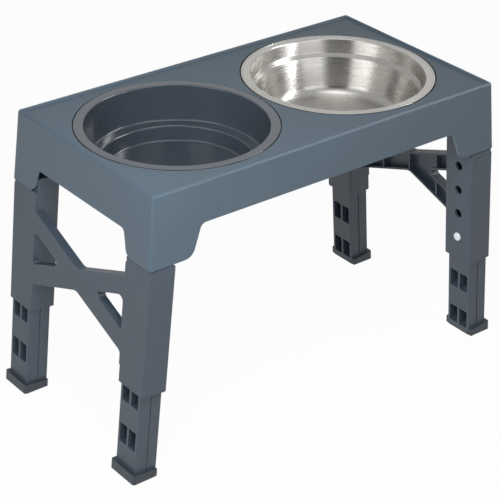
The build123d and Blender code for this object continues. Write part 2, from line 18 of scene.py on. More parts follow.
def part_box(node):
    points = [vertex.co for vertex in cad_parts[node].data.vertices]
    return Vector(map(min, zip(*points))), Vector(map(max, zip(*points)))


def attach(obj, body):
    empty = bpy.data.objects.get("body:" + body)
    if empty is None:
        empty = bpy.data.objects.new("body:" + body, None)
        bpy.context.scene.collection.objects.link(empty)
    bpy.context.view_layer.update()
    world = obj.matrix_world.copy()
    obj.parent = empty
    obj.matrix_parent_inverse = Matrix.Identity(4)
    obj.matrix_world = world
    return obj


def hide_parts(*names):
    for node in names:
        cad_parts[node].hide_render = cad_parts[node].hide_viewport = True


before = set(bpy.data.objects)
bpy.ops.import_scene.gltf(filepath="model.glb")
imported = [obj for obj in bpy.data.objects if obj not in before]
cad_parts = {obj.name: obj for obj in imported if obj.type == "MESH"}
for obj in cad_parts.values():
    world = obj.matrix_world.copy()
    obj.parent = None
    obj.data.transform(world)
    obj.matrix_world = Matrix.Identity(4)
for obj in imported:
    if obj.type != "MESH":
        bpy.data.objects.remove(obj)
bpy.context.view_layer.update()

log = logging.getLogger("feeder")
MM = 0.001
# Noise seldom leaves this band about its mean of 0.5.
NOISE_LOW = 0.3
NOISE_HIGH = 0.7


def to_linear(colour: str) -> tuple[float, float, float, float]:
    """Turns an sRGB hex colour into Blender's linear one.

    Args:
        colour: Six hex digits after a hash sign.

    Returns:
        Red, green, blue and alpha, with alpha at 1.
    """
    channels = []
    for start in (1, 3, 5):
        value = int(colour[start:start + 2], 16) / 255
        channels.append(value / 12.92 if value <= 0.04045 else ((value + 0.055) / 1.055) ** 2.4)
    return (channels[0], channels[1], channels[2], 1.0)


def add_node(
    tree: bpy.types.NodeTree,
    kind: str,
    settings: Optional[dict[str, Any]] = None,
    inputs: Optional[dict[Union[str, int], Any]] = None,
) -> bpy.types.Node:
    """Adds a shader node with its settings and links.

    Args:
        tree: Node tree that gets the node.
        kind: Blender's name of the node type.
        settings: Values for the node's own properties.
        inputs: For each input socket, its value or the output socket that is linked to it.

    Returns:
        The new node.
    """
    node = tree.nodes.new(kind)
    for name, value in (settings or {}).items():
        setattr(node, name, value)
    for key, value in (inputs or {}).items():
        socket = node.inputs[key]
        if isinstance(value, bpy.types.NodeSocket):
            tree.links.new(value, socket)
        else:
            socket.default_value = value
    return node


def start_material(name: str) -> tuple[bpy.types.Material, bpy.types.NodeTree, bpy.types.Node]:
    """Starts a material with a Principled shader.

    Args:
        name: Name of the material.

    Returns:
        The material, its node tree and its shader.
    """
    material = bpy.data.materials.new(name)
    material.use_nodes = True
    tree = material.node_tree
    return material, tree, tree.nodes["Principled BSDF"]


@dataclass(frozen=True)
class Pattern:
    """A noise pattern over a surface, with its real size.

    Attributes:
        size_mm: Size of one feature of the pattern.
        detail: Number of finer layers in it.
        stretch: How many times longer a feature is along X, Y and Z.
        roughness: Weight of the finer layers.
    """

    size_mm: float
    detail: float = 2.0
    stretch: tuple[float, float, float] = (1.0, 1.0, 1.0)
    roughness: float = 0.55

    def output(self, tree: bpy.types.NodeTree) -> bpy.types.NodeSocket:
        """Adds the pattern to a material.

        Args:
            tree: Node tree that gets the pattern.

        Returns:
            The output socket, from 0 to 1 about 0.5.
        """
        where = add_node(tree, "ShaderNodeTexCoord").outputs["Object"]
        scale = tuple(1 / value for value in self.stretch)
        placed = add_node(tree, "ShaderNodeMapping", inputs={"Vector": where, "Scale": scale})
        noise = add_node(
            tree,
            "ShaderNodeTexNoise",
            inputs={
                "Vector": placed.outputs["Vector"],
                "Scale": 1 / (self.size_mm * MM),
                "Detail": self.detail,
                "Roughness": self.roughness,
            },
        )
        return noise.outputs["Fac"]


@dataclass(frozen=True)
class SeamShade:
    """The narrow gap between a bowl's rim and its seat, painted near-black as the shade that falls into it.

    Attributes:
        axes: Point on each bowl's axis at its rim's top, in the piece's own frame and in metres.
        inner_mm: Least distance from an axis that belongs to the gap.
        outer_mm: Greatest distance from an axis that belongs to it.
        top_mm: Depth below the rim's top where the painted shade starts.
        bottom_mm: Depth where it ends.
        colour: Colour of the painted shade.
    """

    axes: tuple[Vector, ...]
    inner_mm: float
    outer_mm: float
    top_mm: float
    bottom_mm: float = 2.4
    colour: str = "#0E1114"

    def cover(self, tree: bpy.types.NodeTree, base: bpy.types.NodeSocket) -> bpy.types.NodeSocket:
        """Paints the gap's shade over a colour.

        Args:
            tree: Node tree that gets the nodes.
            base: Colour of the surface without the painted shade.

        Returns:
            Output socket with the colour of both.
        """
        where = add_node(tree, "ShaderNodeTexCoord").outputs["Object"]
        total: Union[float, bpy.types.NodeSocket] = 0.0
        for axis in self.axes:
            away = add_node(
                tree, "ShaderNodeVectorMath", {"operation": "SUBTRACT"}, {0: where, 1: tuple(axis)}
            )
            parts = add_node(tree, "ShaderNodeSeparateXYZ", inputs={0: away.outputs[0]})
            flat = add_node(tree, "ShaderNodeCombineXYZ", inputs={0: parts.outputs[0], 1: parts.outputs[1]})
            radius = add_node(tree, "ShaderNodeVectorMath", {"operation": "LENGTH"}, {0: flat.outputs[0]})
            across = self._within(tree, radius.outputs["Value"], self.inner_mm * MM, self.outer_mm * MM)
            level = self._within(tree, parts.outputs[2], -self.bottom_mm * MM, -self.top_mm * MM)
            both = add_node(tree, "ShaderNodeMath", {"operation": "MULTIPLY"}, {0: across, 1: level})
            joined = add_node(
                tree,
                "ShaderNodeMath",
                {"operation": "ADD", "use_clamp": True},
                {0: total, 1: both.outputs[0]},
            )
            total = joined.outputs[0]
        # Paints near-black shade into the gap, where the real gap falls into shadow.
        shaded = add_node(
            tree, "ShaderNodeMix", {"data_type": "RGBA"}, {0: total, 6: base, 7: to_linear(self.colour)}
        )
        return shaded.outputs[2]

    def _within(
        self, tree: bpy.types.NodeTree, value: bpy.types.NodeSocket, low: float, high: float
    ) -> bpy.types.NodeSocket:
        """Tests whether a value lies between two others.

        Args:
            tree: Node tree that gets the node.
            value: The value.
            low: Its least wanted value.
            high: Its greatest wanted value.

        Returns:
            Output socket, 1 where it does and 0 elsewhere.
        """
        inputs = {0: value, 1: (low + high) / 2, 2: (high - low) / 2}
        return add_node(tree, "ShaderNodeMath", {"operation": "COMPARE"}, inputs).outputs[0]


class Gloss(Enum):
    """How the mould that formed a plastic piece was finished.

    Attributes:
        spread: How far the roughness drifts from its mean.
        coat: Weight of the clear gloss that the mould leaves.
    """

    SPARK_ERODED = (0.1, 0.0)
    POLISHED = (0.05, 0.45)

    def __init__(self, spread: float, coat: float) -> None:
        """Keeps the finish's two measures."""
        self.spread = spread
        self.coat = coat


@dataclass(frozen=True)
class MouldedPlastic:
    """A coloured plastic from an injection mould.

    Attributes:
        name: Name of the material.
        colour: Colour of the granulate.
        pale: Colour where the pigment is thinner.
        edge_wear_and_highlight: Colour of the outer edges, lighter both for wear and as a painted highlight.
        gloss: Finish of the mould.
        roughness: Mean roughness.
        ior: Refractive index of the plastic.
        grain: Texture of the mould's face.
        grain_height_mm: Height of that texture.
        edge_mm: Width of the edge band that gets wear and a painted highlight.
        buffing: How much smoother that edge is.
        edge_starts: Cosine of the turn, within the edge's width, where the rubbing starts.
        edge_full: Cosine of the turn where it is at its most.
        edge_share: How far the edge colour covers the other there.
        drift: Slow change of colour over the piece.
        flow: Faint streaks where the plastic ran.
        flow_share: How much the streaks add to the drift.
        coat_roughness: Roughness of the clear gloss.
    """

    name: str
    colour: str
    pale: str
    edge_wear_and_highlight: str
    gloss: Gloss
    roughness: float
    ior: float
    grain: Pattern
    grain_height_mm: float
    edge_mm: float = 0.9
    buffing: float = 0.25
    edge_starts: float = 0.995
    edge_full: float = 0.8
    edge_share: float = 0.55
    drift: Pattern = Pattern(70.0, 2.0)
    flow: Pattern = Pattern(5.0, 3.0, (9.0, 9.0, 1.0))
    flow_share: float = 0.35
    coat_roughness: float = 0.12

    def build(self, seam: Optional[SeamShade] = None) -> bpy.types.Material:
        """Makes the material.

        Args:
            seam: Gap that the piece has a wall of, which gets painted shade.

        Returns:
            The material.
        """
        material, tree, shader = start_material(self.name)
        drift = self.drift.output(tree)
        flow = self.flow.output(tree)
        streaks = add_node(
            tree,
            "ShaderNodeMath",
            {"operation": "MULTIPLY_ADD"},
            {0: flow, 1: self.flow_share, 2: -self.flow_share / 2},
        )
        blend = add_node(
            tree, "ShaderNodeMath", {"operation": "ADD", "use_clamp": True}, {0: drift, 1: streaks.outputs[0]}
        )
        body = add_node(
            tree,
            "ShaderNodeMix",
            {"data_type": "RGBA"},
            {0: blend.outputs[0], 6: to_linear(self.colour), 7: to_linear(self.pale)},
        )
        # Lighter outer edges: wear, and a painted highlight along them. The same mask also makes the edges
        # smoother.
        wear_and_highlight = self._edge(tree)
        base = add_node(
            tree,
            "ShaderNodeMix",
            {"data_type": "RGBA"},
            {0: wear_and_highlight, 6: body.outputs[2], 7: to_linear(self.edge_wear_and_highlight)},
        )
        grain = self.grain.output(tree)
        spread = self.gloss.spread
        rough = add_node(
            tree,
            "ShaderNodeMapRange",
            inputs={0: blend.outputs[0], 3: self.roughness - spread, 4: self.roughness + spread},
        )
        buffed = add_node(
            tree,
            "ShaderNodeMath",
            {"operation": "MULTIPLY_ADD"},
            {0: wear_and_highlight, 1: -self.buffing, 2: rough.outputs[0]},
        )
        bump = add_node(
            tree,
            "ShaderNodeBump",
            inputs={"Height": grain, "Strength": 1.0, "Distance": self.grain_height_mm * MM},
        )
        # Paints the gap's shade over the colour.
        colour = seam.cover(tree, base.outputs[2]) if seam else base.outputs[2]
        tree.links.new(colour, shader.inputs["Base Color"])
        tree.links.new(buffed.outputs[0], shader.inputs["Roughness"])
        tree.links.new(bump.outputs["Normal"], shader.inputs["Normal"])
        shader.inputs["IOR"].default_value = self.ior
        shader.inputs["Coat Weight"].default_value = self.gloss.coat
        shader.inputs["Coat Roughness"].default_value = self.coat_roughness
        return material

    def _edge(self, tree: bpy.types.NodeTree) -> bpy.types.NodeSocket:
        """Finds the edges, for their wear and painted highlight, from how fast the surface turns.

        Args:
            tree: Node tree that gets the nodes.

        Returns:
            Output socket, 0 on flat faces and towards 1 on edges.
        """
        soft = add_node(tree, "ShaderNodeBevel", {"samples": 4}, {"Radius": self.edge_mm * MM})
        true = add_node(tree, "ShaderNodeNewGeometry")
        facing = add_node(
            tree,
            "ShaderNodeVectorMath",
            {"operation": "DOT_PRODUCT"},
            {0: soft.outputs[0], 1: true.outputs["Normal"]},
        )
        edge = add_node(
            tree,
            "ShaderNodeMapRange",
            inputs={
                0: facing.outputs["Value"],
                1: self.edge_starts,
                2: self.edge_full,
                3: 0.0,
                4: self.edge_share,
            },
        )
        return edge.outputs[0]


@dataclass(frozen=True)
class BrushedSteel:
    """Stainless steel polished with a belt while it turned, which leaves fine rings.

    Attributes:
        name: Name of the material.
        colour: Colour of the metal.
        dull: Colour in the deeper brush marks.
        roughness: Mean roughness.
        anisotropy: How far the brushing draws the highlights out.
        ring_mm: Spacing of the brush marks.
        ring_height_mm: Height of the brush marks.
        marks_radius_mm: Radius of the circle that their noise is read on. A smaller one draws longer marks.
        marks_detail: Number of finer layers in the marks.
        marks_roughness: Weight of those layers.
        smoother: How much smoother the steel is between marks.
        rougher: How much rougher it is in them.
        rotation: Turn of the highlights against the brushing, as a share of a full turn.
    """

    name: str
    colour: str
    dull: str
    roughness: float
    anisotropy: float
    ring_mm: float
    ring_height_mm: float
    marks_radius_mm: float = 2.5
    marks_detail: float = 3.0
    marks_roughness: float = 0.6
    smoother: float = 0.06
    rougher: float = 0.08
    rotation: float = 0.25

    def build(self, seam: SeamShade) -> bpy.types.Material:
        """Makes the material.

        Args:
            seam: Gap that the piece has a wall of, which gets painted shade.

        Returns:
            The material.
        """
        material, tree, shader = start_material(self.name)
        where = add_node(tree, "ShaderNodeTexCoord").outputs["Object"]
        parts = add_node(tree, "ShaderNodeSeparateXYZ", inputs={0: where})
        flat = add_node(tree, "ShaderNodeCombineXYZ", inputs={0: parts.outputs[0], 1: parts.outputs[1]})
        radius = add_node(tree, "ShaderNodeVectorMath", {"operation": "LENGTH"}, {0: flat.outputs[0]})
        round_dir = add_node(tree, "ShaderNodeVectorMath", {"operation": "NORMALIZE"}, {0: flat.outputs[0]})
        arc = add_node(
            tree,
            "ShaderNodeVectorMath",
            {"operation": "SCALE"},
            {0: round_dir.outputs[0], "Scale": self.marks_radius_mm * MM},
        )
        height = add_node(tree, "ShaderNodeCombineXYZ", inputs={2: parts.outputs[2]})
        along = add_node(
            tree, "ShaderNodeVectorMath", {"operation": "ADD"}, {0: arc.outputs[0], 1: height.outputs[0]}
        )
        rings = add_node(
            tree,
            "ShaderNodeTexNoise",
            {"noise_dimensions": "4D"},
            {
                "Vector": along.outputs[0],
                "W": radius.outputs["Value"],
                "Scale": 1 / (self.ring_mm * MM),
                "Detail": self.marks_detail,
                "Roughness": self.marks_roughness,
            },
        )
        marks = rings.outputs["Fac"]
        base = add_node(
            tree,
            "ShaderNodeMix",
            {"data_type": "RGBA"},
            {0: marks, 6: to_linear(self.colour), 7: to_linear(self.dull)},
        )
        rough = add_node(
            tree,
            "ShaderNodeMapRange",
            inputs={
                0: marks,
                1: NOISE_LOW,
                2: NOISE_HIGH,
                3: self.roughness - self.smoother,
                4: self.roughness + self.rougher,
            },
        )
        bump = add_node(
            tree,
            "ShaderNodeBump",
            inputs={"Height": marks, "Strength": 1.0, "Distance": self.ring_height_mm * MM},
        )
        tangent = add_node(tree, "ShaderNodeTangent", {"direction_type": "RADIAL", "axis": "Z"})
        # Paints the gap's shade over the steel's colour.
        tree.links.new(seam.cover(tree, base.outputs[2]), shader.inputs["Base Color"])
        tree.links.new(rough.outputs[0], shader.inputs["Roughness"])
        tree.links.new(bump.outputs["Normal"], shader.inputs["Normal"])
        tree.links.new(tangent.outputs[0], shader.inputs["Tangent"])
        shader.inputs["Metallic"].default_value = 1.0
        shader.inputs["Anisotropic"].default_value = self.anisotropy
        shader.inputs["Anisotropic Rotation"].default_value = self.rotation
        return material


@dataclass(frozen=True)
class DrawnSteel:
    """Steel wire or strip as it comes from the mill, with faint lengthwise marks.

    Attributes:
        name: Name of the material.
        colour: Colour of the metal.
        dull: Colour of its marks.
        roughness: Mean roughness.
        marks: Pattern of the marks.
        spread: How far the roughness drifts from its mean.
    """

    name: str
    colour: str
    dull: str
    roughness: float
    marks: Pattern
    spread: float = 0.1

    def build(self) -> bpy.types.Material:
        """Makes the material."""
        material, tree, shader = start_material(self.name)
        marks = self.marks.output(tree)
        base = add_node(
            tree,
            "ShaderNodeMix",
            {"data_type": "RGBA"},
            {0: marks, 6: to_linear(self.colour), 7: to_linear(self.dull)},
        )
        rough = add_node(
            tree,
            "ShaderNodeMapRange",
            inputs={0: marks, 3: self.roughness - self.spread, 4: self.roughness + self.spread},
        )
        tree.links.new(base.outputs[2], shader.inputs["Base Color"])
        tree.links.new(rough.outputs[0], shader.inputs["Roughness"])
        shader.inputs["Metallic"].default_value = 1.0
        return material


@dataclass(frozen=True)
class PressedRubber:
    """Black rubber from a press mould, dull with a fine grain.

    Attributes:
        name: Name of the material.
        colour: Colour of the rubber.
        dusty: Colour where dust clings to it.
        roughness: Roughness of the surface.
        grain: Texture of the mould's face.
        grain_height_mm: Height of that texture.
        ior: Refractive index of the rubber.
    """

    name: str
    colour: str
    dusty: str
    roughness: float
    grain: Pattern
    grain_height_mm: float = 0.05
    ior: float = 1.52

    def build(self) -> bpy.types.Material:
        """Makes the material."""
        material, tree, shader = start_material(self.name)
        grain = self.grain.output(tree)
        base = add_node(
            tree,
            "ShaderNodeMix",
            {"data_type": "RGBA"},
            {0: grain, 6: to_linear(self.colour), 7: to_linear(self.dusty)},
        )
        bump = add_node(
            tree,
            "ShaderNodeBump",
            inputs={"Height": grain, "Strength": 1.0, "Distance": self.grain_height_mm * MM},
        )
        tree.links.new(base.outputs[2], shader.inputs["Base Color"])
        tree.links.new(bump.outputs["Normal"], shader.inputs["Normal"])
        shader.inputs["Roughness"].default_value = self.roughness
        shader.inputs["IOR"].default_value = self.ior
        return material


# The real grain of a spark-eroded face is about 0.2 mm. It is drawn at 1.4 mm, the finest that shows in a
# 500 pixel frame.
SPARK_GRAIN = Pattern(1.4, 3.0)
# Polypropylene moulded against such a face: blue-grey, satin, with broad soft highlights and pale edges, from
# wear and a painted highlight.
DECK_PLASTIC = MouldedPlastic(
    "deck_polypropylene", "#42525E", "#4A5B68", "#7A8894", Gloss.SPARK_ERODED, 0.42, 1.49, SPARK_GRAIN, 0.012
)
# The same polypropylene in the legs, a little darker and less blue than the deck.
LEG_PLASTIC = MouldedPlastic(
    "leg_polypropylene", "#38424D", "#3F4A56", "#66717D", Gloss.SPARK_ERODED, 0.44, 1.49, SPARK_GRAIN, 0.012
)
# The foot caps' polypropylene, darker again, with edges lighter from scuffing and a painted highlight.
FOOT_PLASTIC = MouldedPlastic(
    "foot_polypropylene", "#2A3138", "#313941", "#5A636D", Gloss.SPARK_ERODED, 0.48, 1.49, SPARK_GRAIN, 0.012
)
# Polypropylene moulded against a polished face: charcoal, with sharp reflections that waver slightly.
BOWL_PLASTIC = MouldedPlastic(
    "bowl_polypropylene", "#353C45", "#3B434C", "#6C757F", Gloss.POLISHED, 0.2, 1.6, Pattern(9.0, 1.0), 0.03
)
# Acetal is milky white and slightly waxy.
BUTTON_PLASTIC = MouldedPlastic(
    "button_acetal", "#D9E0E6", "#E4EAEF", "#F0F3F5", Gloss.POLISHED, 0.3, 1.48, Pattern(1.5, 2.0), 0.006
)
# Stainless sheet, belt-polished while it turned: grey bands of light across fine rings.
# The real marks are about 0.1 mm apart. They are drawn at 0.9 mm, so that they show.
BOWL_STEEL = BrushedSteel("bowl_stainless", "#D3D1CE", "#C3C1BC", 0.27, 0.8, 0.9, 0.0004)
# Drawn steel rod: bright grey with lengthwise marks.
PIN_STEEL = DrawnSteel("pin_drawn_steel", "#A9A9AA", "#8C8C8E", 0.35, Pattern(0.8, 2.0, (1.0, 8.0, 1.0)))
# Cold-rolled spring strip: darker grey with marks along the strip.
CLIP_STEEL = DrawnSteel("clip_spring_steel", "#8F9296", "#74777B", 0.4, Pattern(0.8, 2.0, (1.0, 1.0, 8.0)))
# Natural and carbon-black rubber: nearly black and dull.
SOLE_RUBBER = PressedRubber("sole_rubber", "#17181B", "#26282C", 0.75, Pattern(1.2, 2.0))


class Corner(Enum):
    """The stand's four legs."""

    FRONT_LEFT = "front_left"
    FRONT_RIGHT = "front_right"
    REAR_LEFT = "rear_left"
    REAR_RIGHT = "rear_right"


class Side(Enum):
    """The stand's two ends."""

    LEFT = "left"
    RIGHT = "right"


def dress_node(name: str, material: bpy.types.Material) -> None:
    """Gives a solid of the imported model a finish.

    Args:
        name: Name of the node.
        material: Its new material.
    """
    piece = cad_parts[name]
    if not piece.material_slots:
        piece.data.materials.append(material)
    for place in piece.material_slots:
        place.material = material
    log.info("dressed %s in %s", name, material.name)


@dataclass(frozen=True)
class Turn:
    """A corner of a turned outline.

    Attributes:
        radius: Distance from the axis, in millimetres.
        depth: Distance below the rim's top, in millimetres.
        rounding: Radius of the corner, in millimetres.
    """

    radius: float
    depth: float
    rounding: float = 0.0


# Two runs that meet at more than this are taken for one straight run.
STRAIGHT_DEGREES = 179.5


def rounded_path(turns: list[Turn], arc_step: float = 6.0, hold: float = 0.25) -> list[tuple[float, float]]:
    """Rounds the corners of an outline.

    Args:
        turns: Corners, from one end on the axis to the other.
        arc_step: Degrees between the points of a rounding.
        hold: Distance of the extra points that keep the straight runs flat, in millimetres.

    Returns:
        Radius and depth of each point, in millimetres.
    """
    path: list[tuple[float, float]] = [(turns[0].radius, turns[0].depth)]
    for before, here, after in zip(turns, turns[1:], turns[2:]):
        point = Vector((here.radius, here.depth))
        back = (Vector((before.radius, before.depth)) - point).normalized()
        ahead = (Vector((after.radius, after.depth)) - point).normalized()
        angle = back.angle(ahead)
        if here.rounding <= 0 or angle > math.radians(STRAIGHT_DEGREES):
            path.append(tuple(point))
            continue
        reach = here.rounding / math.tan(angle / 2)
        centre = point + (back + ahead).normalized() * (here.rounding / math.sin(angle / 2))
        first = point + back * reach
        last = point + ahead * reach
        start = first - centre
        turn = start.angle_signed(last - centre)
        steps = max(2, round(abs(math.degrees(turn)) / arc_step))
        path.append(tuple(first + back * hold))
        for step in range(steps + 1):
            path.append(tuple(centre + Matrix.Rotation(-turn * step / steps, 2) @ start))
        path.append(tuple(last + ahead * hold))
    path.append((turns[-1].radius, turns[-1].depth))
    return path


def turned_piece(
    name: str, path: list[tuple[float, float]], axis: Vector, around: int = 288
) -> bpy.types.Object:
    """Turns an outline about an upright axis.

    Args:
        name: Name of the piece.
        path: Radius and depth of each point in millimetres, with its two ends on the axis.
        axis: Point on the axis at the rim's top, in metres.
        around: Number of steps round the axis.

    Returns:
        The smooth piece, with its origin at that point.
    """
    rings = path[1:-1]
    vertices = [(0.0, 0.0, -path[0][1] * MM)]
    for radius, depth in rings:
        for step in range(around):
            angle = 2 * math.pi * step / around
            vertices.append((radius * MM * math.cos(angle), radius * MM * math.sin(angle), -depth * MM))
    vertices.append((0.0, 0.0, -path[-1][1] * MM))
    end = len(vertices) - 1
    last_ring = 1 + (len(rings) - 1) * around
    faces = []
    for step in range(around):
        after = (step + 1) % around
        faces.append((0, 1 + step, 1 + after))
        for ring in range(len(rings) - 1):
            low = 1 + ring * around
            high = low + around
            faces.append((low + step, high + step, high + after, low + after))
        faces.append((last_ring + step, end, last_ring + after))
    mesh = bpy.data.meshes.new(name)
    mesh.from_pydata(vertices, [], faces)
    mesh.validate()
    mesh.shade_smooth()
    piece = bpy.data.objects.new(name, mesh)
    piece.location = axis
    bpy.context.scene.collection.objects.link(piece)
    return piece


def rim_seam_shade(rim_radius: float, shade_mm: float = 0.5, slack_mm: float = 0.1, top_mm: float = 0.02) -> SeamShade:
    """Gives the bowl's side of the gap round its rim, where shade is painted onto the rim's outer edge.

    Args:
        rim_radius: Radius of the rim, in millimetres.
        shade_mm: How far in from the rim's edge the painted shade reaches.
        slack_mm: Extra reach outside the edge, so that all of the edge is covered.
        top_mm: Depth below the rim's top where the painted shade starts.

    Returns:
        The gap's painted shade, in the frame of a bowl with its origin at the rim's top.
    """
    return SeamShade((Vector((0.0, 0.0, 0.0)),), rim_radius - shade_mm, rim_radius + slack_mm, top_mm)


@dataclass
class PlasticBowl:
    """The moulded bowl at the left end, with sizes of its inside in millimetres."""

    rim_radius: float = 102.2
    rim_thickness: float = 2.0
    mouth_radius: float = 92.2
    wall: float = 1.6
    lip_radius: float = 1.4
    ledge_outer: float = 88.6
    ledge_inner: float = 77.2
    ledge_depth: float = 38.4
    ledge_fall: float = 1.0
    floor_radius: float = 75.8
    depth: float = 55.7
    fillet: float = 2.0
    edge: float = 0.5

    def outline(self) -> list[Turn]:
        """Corners of the section, from the middle of the floor round to the middle of the underside."""
        ledge = self.ledge_depth + self.ledge_fall
        return [
            Turn(0.0, self.depth),
            Turn(self.floor_radius, self.depth, self.fillet),
            Turn(self.ledge_inner, ledge, self.fillet),
            Turn(self.ledge_outer, self.ledge_depth, self.fillet),
            Turn(self.mouth_radius, 0.0, self.lip_radius),
            Turn(self.rim_radius, 0.0, self.edge),
            Turn(self.rim_radius, self.rim_thickness, self.edge),
            Turn(self.mouth_radius + self.wall, self.rim_thickness, self.edge),
            Turn(self.ledge_outer + self.wall, self.ledge_depth + self.wall, self.fillet + self.wall),
            Turn(self.ledge_inner + self.wall, ledge + self.wall, self.fillet - self.wall / 2),
            Turn(self.floor_radius + self.wall, self.depth + self.wall, self.fillet + self.wall),
            Turn(0.0, self.depth + self.wall),
        ]

    def build(self) -> bpy.types.Object:
        """Turns the bowl in the place of its solid."""
        low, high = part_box("plastic_bowl")
        axis = Vector(((low.x + high.x) / 2, (low.y + high.y) / 2, high.z))
        piece = turned_piece("plastic_bowl_turned", rounded_path(self.outline()), axis)
        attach(piece, "plastic_bowl")
        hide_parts("plastic_bowl")
        log.info("built %s with %d faces", piece.name, len(piece.data.polygons))
        return piece

    def dress(self, piece: bpy.types.Object) -> None:
        """Gives the bowl its finish."""
        # The rim's outer edge gets painted shade, in the gap round it.
        piece.data.materials.append(BOWL_PLASTIC.build(rim_seam_shade(self.rim_radius)))


@dataclass
class SteelBowl:
    """The pressed bowl at the right end, with sizes of its inside in millimetres."""

    rim_radius: float = 102.2
    rim_thickness: float = 2.0
    rim_fall: float = 0.35
    bead_width: float = 1.9
    mouth_radius: float = 92.2
    wall: float = 0.8
    lip_radius: float = 1.6
    shoulder_radius: float = 89.2
    shoulder_depth: float = 14.6
    step_radius: float = 85.6
    step_depth: float = 19.0
    waist_radius: float = 77.6
    waist_depth: float = 44.0
    depth: float = 56.5
    blend: float = 13.0
    fillet: float = 1.6
    mouth_fall: float = 0.05
    crease: float = 0.5
    crease_radius: float = 0.4
    under_radius: float = 0.2
    bead_slack: float = 0.02

    def outline(self) -> list[Turn]:
        """Corners of the bowl's section. The rim's outer edge is rolled under into a bead."""
        wall = self.wall
        bead_radius = self.rim_thickness / 2 - self.bead_slack
        bead_start = self.rim_radius - self.bead_width
        base_radius = self.waist_radius - self.blend / 3
        return [
            Turn(0.0, self.depth),
            Turn(base_radius, self.depth, self.blend),
            Turn(self.waist_radius, self.waist_depth, 2 * self.blend),
            Turn(self.step_radius, self.step_depth, self.fillet),
            Turn(self.shoulder_radius, self.shoulder_depth, self.fillet),
            Turn(self.mouth_radius, self.mouth_fall, self.lip_radius),
            Turn(bead_start - self.crease, self.rim_fall, self.crease_radius),
            Turn(bead_start, 0.0, self.crease),
            Turn(self.rim_radius, 0.0, bead_radius),
            Turn(self.rim_radius, self.rim_thickness, bead_radius),
            Turn(bead_start, self.rim_thickness, self.crease),
            Turn(bead_start - self.crease_radius, self.rim_fall + wall, self.under_radius),
            Turn(self.mouth_radius + wall, self.rim_fall + wall, self.crease),
            Turn(self.shoulder_radius + wall, self.shoulder_depth - wall / 2, self.fillet),
            Turn(self.step_radius + wall, self.step_depth - wall / 2, self.fillet),
            Turn(self.waist_radius + wall, self.waist_depth, 2 * self.blend + wall),
            Turn(base_radius + wall, self.depth + wall, self.blend + wall),
            Turn(0.0, self.depth + wall),
        ]

    def build(self) -> bpy.types.Object:
        """Turns the bowl in the place of its solid."""
        low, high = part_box("steel_bowl")
        axis = Vector(((low.x + high.x) / 2, (low.y + high.y) / 2, high.z))
        piece = turned_piece("steel_bowl_turned", rounded_path(self.outline()), axis)
        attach(piece, "steel_bowl")
        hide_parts("steel_bowl")
        log.info("built %s with %d faces", piece.name, len(piece.data.polygons))
        return piece

    def dress(self, piece: bpy.types.Object) -> None:
        """Gives the bowl its finish."""
        # The rim's outer edge gets painted shade, in the gap round it.
        piece.data.materials.append(BOWL_STEEL.build(rim_seam_shade(self.rim_radius)))


@dataclass
class Deck:
    """The moulded deck with the pins that its leg frames turn on."""

    body: str = "table_deck"
    pins: str = "hinge_pins"
    bowls: tuple[str, ...] = ("plastic_bowl", "steel_bowl")
    seam_width: float = 1.2
    seam_slack: float = 0.3
    seam_top: float = 1.0

    def seam(self) -> SeamShade:
        """Finds the deck's side of the gaps round the bowls, where shade is painted onto the seat walls."""
        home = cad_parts[self.body].matrix_world.translation
        axes = []
        radius = 0.0
        for name in self.bowls:
            low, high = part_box(name)
            axes.append(Vector(((low.x + high.x) / 2, (low.y + high.y) / 2, high.z)) - home)
            radius = (high.x - low.x) / 2 / MM
        inner = radius - self.seam_slack
        return SeamShade(tuple(axes), inner, radius + self.seam_width + self.seam_slack, self.seam_top)

    def dress(self) -> None:
        """Gives the deck and the pins their finishes."""
        # The deck's finish has shade painted into the gaps round the bowls.
        dress_node(self.body, DECK_PLASTIC.build(self.seam()))
        steel = PIN_STEEL.build()
        for side in Side:
            dress_node(f"{self.pins}_{side.value}", steel)


@dataclass
class Legs:
    """The leg frames and the telescoping legs in them."""

    def dress(self) -> None:
        """Gives each piece of the legs its finish."""
        plastic = LEG_PLASTIC.build()
        cap = FOOT_PLASTIC.build()
        rubber = SOLE_RUBBER.build()
        strip = CLIP_STEEL.build()
        acetal = BUTTON_PLASTIC.build()
        for side in Side:
            dress_node(f"leg_frame_{side.value}", plastic)
        for corner in Corner:
            dress_node(f"inner_leg_{corner.value}", plastic)
            dress_node(f"foot_cap_{corner.value}", cap)
            dress_node(f"foot_pad_{corner.value}", rubber)
            dress_node(f"spring_clip_{corner.value}", strip)
            dress_node(f"snap_button_{corner.value}", acetal)


class Role(Enum):
    """What a lamp does: light matt surfaces, or show in glossy ones."""

    KEY = "key"
    MIRRORED = "mirrored"


@dataclass(frozen=True)
class Lamp:
    """A soft lamp that the camera doesn't see.

    Attributes:
        name: Name of the lamp.
        place: Its middle, in metres.
        aim: Point that it faces, in metres.
        size: Its width and height, in metres.
        power: Power in watts.
        role: What it does.
        spin: Turn about its own axis, in degrees.
    """

    name: str
    place: tuple[float, float, float]
    aim: tuple[float, float, float]
    size: tuple[float, float]
    power: float
    role: Role
    spin: float = 0.0

    def build(self) -> None:
        """Hangs the lamp in the studio."""
        data = bpy.data.lights.new(self.name, "AREA")
        data.shape = "RECTANGLE"
        data.size, data.size_y = self.size
        data.energy = self.power
        lamp = bpy.data.objects.new(self.name, data)
        lamp.location = self.place
        direction = Vector(self.aim) - Vector(self.place)
        spin = Matrix.Rotation(math.radians(self.spin), 3, "Z")
        lamp.rotation_euler = (direction.to_track_quat("-Z", "Y").to_matrix() @ spin).to_euler()
        lamp.visible_camera = False
        lamp.visible_diffuse = self.role is Role.KEY
        lamp.visible_glossy = self.role is Role.MIRRORED
        bpy.context.scene.collection.objects.link(lamp)


